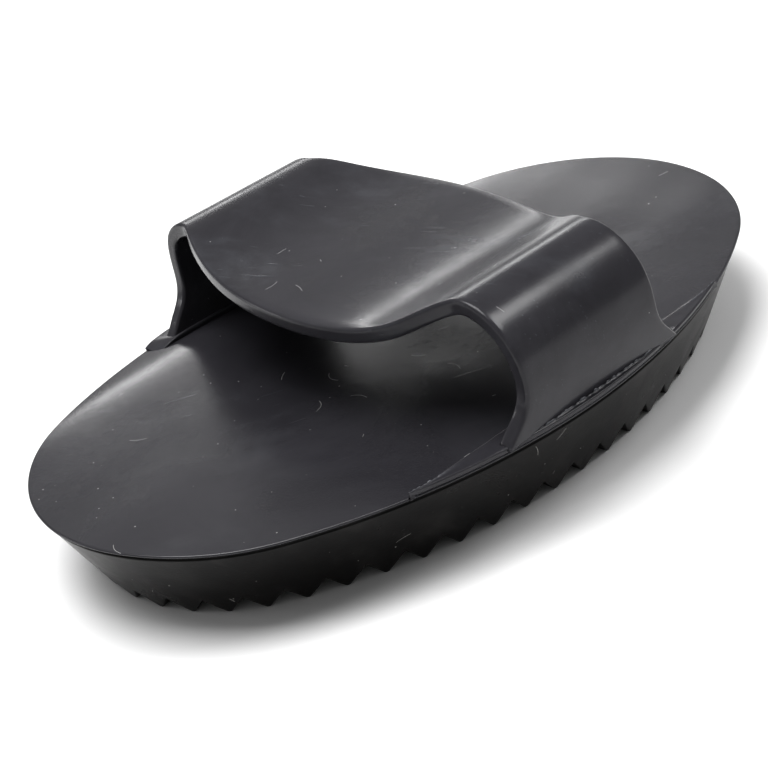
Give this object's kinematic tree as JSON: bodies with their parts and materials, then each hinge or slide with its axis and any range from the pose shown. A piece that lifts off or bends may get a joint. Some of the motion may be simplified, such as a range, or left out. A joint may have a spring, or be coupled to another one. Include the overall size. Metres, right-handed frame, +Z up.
{
  "type": "rubber curry brush",
  "caption": "Oval rubber curry brush: a flat back over concentric rings of pointed teeth, with a wide dipped strap across it for the palm.",
  "frame": {"origin": "on the ground under the middle of the brush, where the points of the teeth rest", "axes": "+X along the oval's long axis, +Y across the hand from the right foot of the strap to the left, +Z up from the teeth to the strap"},
  "size_m": [0.16, 0.1065, 0.0422],
  "materials": {
    "plate_rubber": "matt black rubber with a soft sheen and a little dust",
    "tooth_rubber": "matt black rubber, slightly brown",
    "strap_rubber": "satin black rubber with a faint bluish bloom"
  },
  "bodies": {
    "root": {"back_plate": "plate_rubber", "outer_tooth_ring": "tooth_rubber", "middle_tooth_ring": "tooth_rubber", "inner_tooth_ring": "tooth_rubber", "centre_tooth_row": "tooth_rubber", "left_strap_foot": "strap_rubber", "right_strap_foot": "strap_rubber", "strap_handle": "strap_rubber"}
  },
  "joints": []
}
